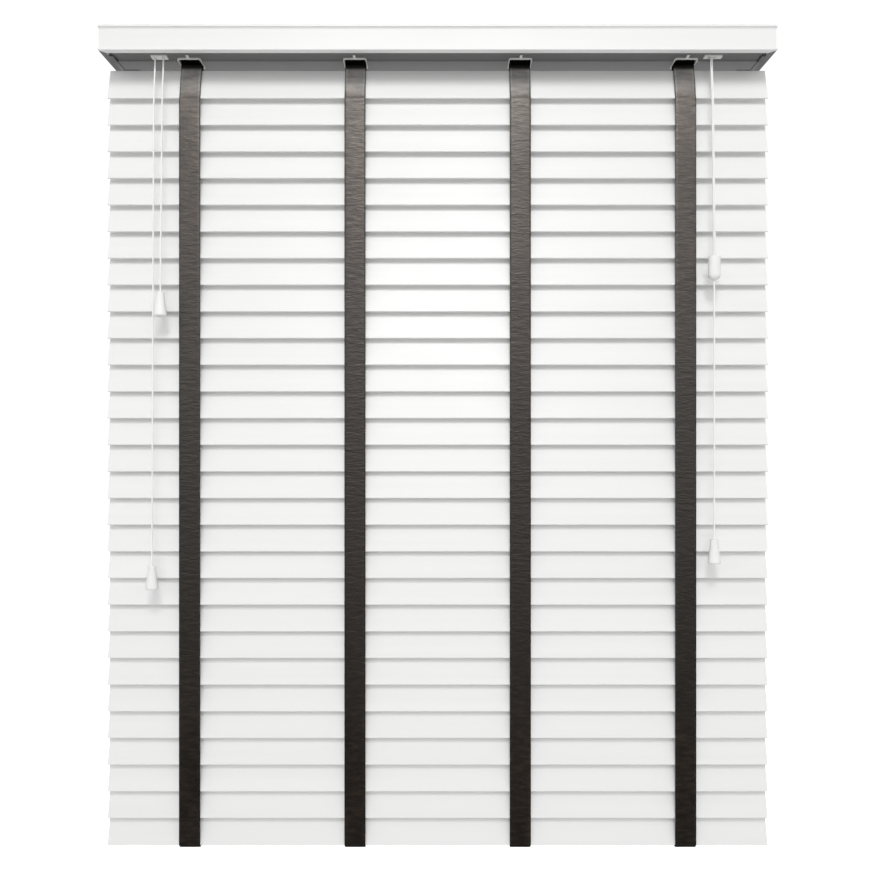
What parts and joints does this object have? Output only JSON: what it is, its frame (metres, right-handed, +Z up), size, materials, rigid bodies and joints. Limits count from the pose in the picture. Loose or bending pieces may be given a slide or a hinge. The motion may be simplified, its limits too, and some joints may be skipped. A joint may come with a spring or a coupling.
{
  "type": "venetian blind",
  "caption": "Horizontal slatted window blind with cloth ladder tapes, a valance, a steel headrail, tilt cords and a lift cord.",
  "frame": {"origin": "middle of the plane that the two end brackets are screwed up to, on the axis of the slats", "axes": "+X along the slats, to the right seen from the room; +Y into the window; +Z up"},
  "size_m": [1.04, 0.0779, 1.277],
  "materials": {
    "painted_wood": "satin white paint on wood",
    "channel_steel": "white baked enamel on rolled steel",
    "bracket_steel": "white enamel on pressed steel",
    "spring_steel": "bright steel",
    "white_plastic": "moulded, fine matt",
    "nylon": "natural nylon",
    "brass": "turned, knurled",
    "tape_cloth": "woven black-brown twill tape with a light sheen",
    "cord": "braided polyester",
    "tassel_wood": "turned and painted"
  },
  "bodies": {
    "root": {"headrail": "channel_steel", "brackets": "bracket_steel", "bracket_gates": "bracket_steel", "valance_board": "painted_wood", "valance_returns": "painted_wood", "valance_clips": "spring_steel", "cradles": "white_plastic", "tilter_housing": "white_plastic", "cord_lock_housing": "white_plastic", "lift_cords": "cord"},
    "tilt_shaft": {"tilt_rod": "spring_steel", "ladder_drums": "nylon", "tilter_gear": "nylon", "tape_leads": "tape_cloth"},
    "front_tape_set": {"front_tapes": "tape_cloth"},
    "rear_tape_set": {"rear_tapes": "tape_cloth"},
    "worm": {"tilter_worm": "nylon"},
    "lock_roller": {"lock_roller": "brass"},
    "tilt_pull_long": {"tilt_cord_long": "cord", "tassel_long": "tassel_wood"},
    "tilt_pull_short": {"tilt_cord_short": "cord", "tassel_short": "tassel_wood"},
    "lift_pull": {"pull_cords": "cord", "cord_joiner": "tassel_wood", "lift_tassel": "tassel_wood"},
    "slat_01": {"slat_01": "painted_wood"},
    "slat_02": {"slat_02": "painted_wood"},
    "slat_03": {"slat_03": "painted_wood"},
    "slat_04": {"slat_04": "painted_wood"},
    "slat_05": {"slat_05": "painted_wood"},
    "slat_06": {"slat_06": "painted_wood"},
    "slat_07": {"slat_07": "painted_wood"},
    "slat_08": {"slat_08": "painted_wood"},
    "slat_09": {"slat_09": "painted_wood"},
    "slat_10": {"slat_10": "painted_wood"},
    "slat_11": {"slat_11": "painted_wood"},
    "slat_12": {"slat_12": "painted_wood"},
    "slat_13": {"slat_13": "painted_wood"},
    "slat_14": {"slat_14": "painted_wood"},
    "slat_15": {"slat_15": "painted_wood"},
    "slat_16": {"slat_16": "painted_wood"},
    "slat_17": {"slat_17": "painted_wood"},
    "slat_18": {"slat_18": "painted_wood"},
    "slat_19": {"slat_19": "painted_wood"},
    "slat_20": {"slat_20": "painted_wood"},
    "slat_21": {"slat_21": "painted_wood"},
    "slat_22": {"slat_22": "painted_wood"},
    "slat_23": {"slat_23": "painted_wood"},
    "slat_24": {"slat_24": "painted_wood"},
    "slat_25": {"slat_25": "painted_wood"},
    "slat_26": {"slat_26": "painted_wood"},
    "slat_27": {"slat_27": "painted_wood"},
    "slat_28": {"slat_28": "painted_wood"},
    "ladder_cell_26": {"ladder_cell_26": "tape_cloth"},
    "ladder_cell_27": {"ladder_cell_27": "tape_cloth"},
    "ladder_cell_28": {"ladder_cell_28": "tape_cloth"},
    "ladder_cell_rail": {"ladder_cell_rail": "tape_cloth"},
    "bottom_rail": {"bottom_rail": "painted_wood", "rail_buttons": "white_plastic", "tape_ends": "tape_cloth"}
  },
  "joints": [
    {"name": "tilt", "type": "hinge", "parent": "root", "child": "tilt_shaft", "pos_m": [0, 0, -0.026], "axis": [-1, 0, 0], "range_deg": [0, 150], "deforming": ["tape_leads"]},
    {"name": "front_tape_travel", "type": "hinge", "parent": "tilt_shaft", "child": "front_tape_set", "pos_m": [0, -0.00657, -0.05053], "axis": [-1, 0, 0], "range_deg": [-150, 0], "deforming": ["front_tapes"]},
    {"name": "rear_tape_travel", "type": "hinge", "parent": "tilt_shaft", "child": "rear_tape_set", "pos_m": [0, 0.00657, -0.00147], "axis": [-1, 0, 0], "range_deg": [-150, 0], "deforming": ["rear_tapes"]},
    {"name": "worm_turn", "type": "hinge", "parent": "root", "child": "worm", "pos_m": [-0.434, 0, -0.014], "axis": [0, 1, 0], "range_deg": [0, 3750]},
    {"name": "lock_roller_travel", "type": "slide", "parent": "root", "child": "lock_roller", "axis": [0, -0.5736, 0.8192], "range_m": [0, 0.003]},
    {"name": "tilt_pull_long_travel", "type": "slide", "parent": "root", "child": "tilt_pull_long", "axis": [-0.02, 0, 0.9998], "range_m": [0, 0.426], "deforming": ["tilt_cord_long"]},
    {"name": "tilt_pull_short_travel", "type": "slide", "parent": "root", "child": "tilt_pull_short", "axis": [0.02, 0, -0.9998], "range_m": [0, 0.426], "deforming": ["tilt_cord_short"]},
    {"name": "lift", "type": "slide", "parent": "root", "child": "ladder_cell_rail", "axis": [0, 0, 1], "range_m": [0, 0.116], "deforming": ["ladder_cell_rail", "lift_cords"]},
    {"name": "lift_pull_travel", "type": "slide", "parent": "root", "child": "lift_pull", "axis": [0, 0, -1], "range_m": [0, 0.116], "deforming": ["pull_cords"]},
    {"name": "cell_26_rise", "type": "slide", "parent": "root", "child": "ladder_cell_26", "axis": [0, 0, 1], "range_m": [0, 0.029], "deforming": ["ladder_cell_26"]},
    {"name": "cell_27_rise", "type": "slide", "parent": "root", "child": "ladder_cell_27", "axis": [0, 0, 1], "range_m": [0, 0.058], "deforming": ["ladder_cell_27"]},
    {"name": "cell_28_rise", "type": "slide", "parent": "root", "child": "ladder_cell_28", "axis": [0, 0, 1], "range_m": [0, 0.087], "deforming": ["ladder_cell_28"]},
    {"name": "slat_01_tilt", "type": "hinge", "parent": "root", "child": "slat_01", "pos_m": [0, 0, -0.0732], "axis": [-1, 0, 0], "range_deg": [0, 150]},
    {"name": "slat_02_tilt", "type": "hinge", "parent": "root", "child": "slat_02", "pos_m": [0, 0, -0.1152], "axis": [-1, 0, 0], "range_deg": [0, 150]},
    {"name": "slat_03_tilt", "type": "hinge", "parent": "root", "child": "slat_03", "pos_m": [0, 0, -0.1572], "axis": [-1, 0, 0], "range_deg": [0, 150]},
    {"name": "slat_04_tilt", "type": "hinge", "parent": "root", "child": "slat_04", "pos_m": [0, 0, -0.1992], "axis": [-1, 0, 0], "range_deg": [0, 150]},
    {"name": "slat_05_tilt", "type": "hinge", "parent": "root", "child": "slat_05", "pos_m": [0, 0, -0.2412], "axis": [-1, 0, 0], "range_deg": [0, 150]},
    {"name": "slat_06_tilt", "type": "hinge", "parent": "root", "child": "slat_06", "pos_m": [0, 0, -0.2832], "axis": [-1, 0, 0], "range_deg": [0, 150]},
    {"name": "slat_07_tilt", "type": "hinge", "parent": "root", "child": "slat_07", "pos_m": [0, 0, -0.3252], "axis": [-1, 0, 0], "range_deg": [0, 150]},
    {"name": "slat_08_tilt", "type": "hinge", "parent": "root", "child": "slat_08", "pos_m": [0, 0, -0.3672], "axis": [-1, 0, 0], "range_deg": [0, 150]},
    {"name": "slat_09_tilt", "type": "hinge", "parent": "root", "child": "slat_09", "pos_m": [0, 0, -0.4092], "axis": [-1, 0, 0], "range_deg": [0, 150]},
    {"name": "slat_10_tilt", "type": "hinge", "parent": "root", "child": "slat_10", "pos_m": [0, 0, -0.4512], "axis": [-1, 0, 0], "range_deg": [0, 150]},
    {"name": "slat_11_tilt", "type": "hinge", "parent": "root", "child": "slat_11", "pos_m": [0, 0, -0.4932], "axis": [-1, 0, 0], "range_deg": [0, 150]},
    {"name": "slat_12_tilt", "type": "hinge", "parent": "root", "child": "slat_12", "pos_m": [0, 0, -0.5352], "axis": [-1, 0, 0], "range_deg": [0, 150]},
    {"name": "slat_13_tilt", "type": "hinge", "parent": "root", "child": "slat_13", "pos_m": [0, 0, -0.5772], "axis": [-1, 0, 0], "range_deg": [0, 150]},
    {"name": "slat_14_tilt", "type": "hinge", "parent": "root", "child": "slat_14", "pos_m": [0, 0, -0.6192], "axis": [-1, 0, 0], "range_deg": [0, 150]},
    {"name": "slat_15_tilt", "type": "hinge", "parent": "root", "child": "slat_15", "pos_m": [0, 0, -0.6612], "axis": [-1, 0, 0], "range_deg": [0, 150]},
    {"name": "slat_16_tilt", "type": "hinge", "parent": "root", "child": "slat_16", "pos_m": [0, 0, -0.7032], "axis": [-1, 0, 0], "range_deg": [0, 150]},
    {"name": "slat_17_tilt", "type": "hinge", "parent": "root", "child": "slat_17", "pos_m": [0, 0, -0.7452], "axis": [-1, 0, 0], "range_deg": [0, 150]},
    {"name": "slat_18_tilt", "type": "hinge", "parent": "root", "child": "slat_18", "pos_m": [0, 0, -0.7872], "axis": [-1, 0, 0], "range_deg": [0, 150]},
    {"name": "slat_19_tilt", "type": "hinge", "parent": "root", "child": "slat_19", "pos_m": [0, 0, -0.8292], "axis": [-1, 0, 0], "range_deg": [0, 150]},
    {"name": "slat_20_tilt", "type": "hinge", "parent": "root", "child": "slat_20", "pos_m": [0, 0, -0.8712], "axis": [-1, 0, 0], "range_deg": [0, 150]},
    {"name": "slat_21_tilt", "type": "hinge", "parent": "root", "child": "slat_21", "pos_m": [0, 0, -0.9132], "axis": [-1, 0, 0], "range_deg": [0, 150]},
    {"name": "slat_22_tilt", "type": "hinge", "parent": "root", "child": "slat_22", "pos_m": [0, 0, -0.9552], "axis": [-1, 0, 0], "range_deg": [0, 150]},
    {"name": "slat_23_tilt", "type": "hinge", "parent": "root", "child": "slat_23", "pos_m": [0, 0, -0.9972], "axis": [-1, 0, 0], "range_deg": [0, 150]},
    {"name": "slat_24_tilt", "type": "hinge", "parent": "root", "child": "slat_24", "pos_m": [0, 0, -1.0392], "axis": [-1, 0, 0], "range_deg": [0, 150]},
    {"name": "slat_25_tilt", "type": "hinge", "parent": "root", "child": "slat_25", "pos_m": [0, 0, -1.0812], "axis": [-1, 0, 0], "range_deg": [0, 150]},
    {"name": "slat_26_tilt", "type": "hinge", "parent": "ladder_cell_26", "child": "slat_26", "pos_m": [0, 0, -1.1232], "axis": [-1, 0, 0], "range_deg": [0, 150]},
    {"name": "slat_27_tilt", "type": "hinge", "parent": "ladder_cell_27", "child": "slat_27", "pos_m": [0, 0, -1.1652], "axis": [-1, 0, 0], "range_deg": [0, 150]},
    {"name": "slat_28_tilt", "type": "hinge", "parent": "ladder_cell_28", "child": "slat_28", "pos_m": [0, 0, -1.2072], "axis": [-1, 0, 0], "range_deg": [0, 150]},
    {"name": "bottom_rail_tilt", "type": "hinge", "parent": "ladder_cell_rail", "child": "bottom_rail", "pos_m": [0, 0, -1.2492], "axis": [-1, 0, 0], "range_deg": [0, 150]}
  ],
  "couplings": [
    {"joint": "front_tape_travel", "follows": "tilt", "ratio": -1},
    {"joint": "rear_tape_travel", "follows": "tilt", "ratio": -1},
    {"joint": "worm_turn", "follows": "tilt", "ratio": 25},
    {"joint": "tilt_pull_long_travel", "follows": "tilt", "m_per_rad": 0.1625},
    {"joint": "tilt_pull_short_travel", "follows": "tilt", "m_per_rad": 0.1625},
    {"joint": "lift_pull_travel", "follows": "lift", "ratio": 1},
    {"joint": "cell_26_rise", "follows": "lift", "ratio": 0.25},
    {"joint": "cell_27_rise", "follows": "lift", "ratio": 0.5},
    {"joint": "cell_28_rise", "follows": "lift", "ratio": 0.75},
    {"joint": "slat_01_tilt", "follows": "tilt", "ratio": 1},
    {"joint": "slat_02_tilt", "follows": "tilt", "ratio": 1},
    {"joint": "slat_03_tilt", "follows": "tilt", "ratio": 1},
    {"joint": "slat_04_tilt", "follows": "tilt", "ratio": 1},
    {"joint": "slat_05_tilt", "follows": "tilt", "ratio": 1},
    {"joint": "slat_06_tilt", "follows": "tilt", "ratio": 1},
    {"joint": "slat_07_tilt", "follows": "tilt", "ratio": 1},
    {"joint": "slat_08_tilt", "follows": "tilt", "ratio": 1},
    {"joint": "slat_09_tilt", "follows": "tilt", "ratio": 1},
    {"joint": "slat_10_tilt", "follows": "tilt", "ratio": 1},
    {"joint": "slat_11_tilt", "follows": "tilt", "ratio": 1},
    {"joint": "slat_12_tilt", "follows": "tilt", "ratio": 1},
    {"joint": "slat_13_tilt", "follows": "tilt", "ratio": 1},
    {"joint": "slat_14_tilt", "follows": "tilt", "ratio": 1},
    {"joint": "slat_15_tilt", "follows": "tilt", "ratio": 1},
    {"joint": "slat_16_tilt", "follows": "tilt", "ratio": 1},
    {"joint": "slat_17_tilt", "follows": "tilt", "ratio": 1},
    {"joint": "slat_18_tilt", "follows": "tilt", "ratio": 1},
    {"joint": "slat_19_tilt", "follows": "tilt", "ratio": 1},
    {"joint": "slat_20_tilt", "follows": "tilt", "ratio": 1},
    {"joint": "slat_21_tilt", "follows": "tilt", "ratio": 1},
    {"joint": "slat_22_tilt", "follows": "tilt", "ratio": 1},
    {"joint": "slat_23_tilt", "follows": "tilt", "ratio": 1},
    {"joint": "slat_24_tilt", "follows": "tilt", "ratio": 1},
    {"joint": "slat_25_tilt", "follows": "tilt", "ratio": 1},
    {"joint": "slat_26_tilt", "follows": "tilt", "ratio": 1},
    {"joint": "slat_27_tilt", "follows": "tilt", "ratio": 1},
    {"joint": "slat_28_tilt", "follows": "tilt", "ratio": 1},
    {"joint": "bottom_rail_tilt", "follows": "tilt", "ratio": 1}
  ]
}
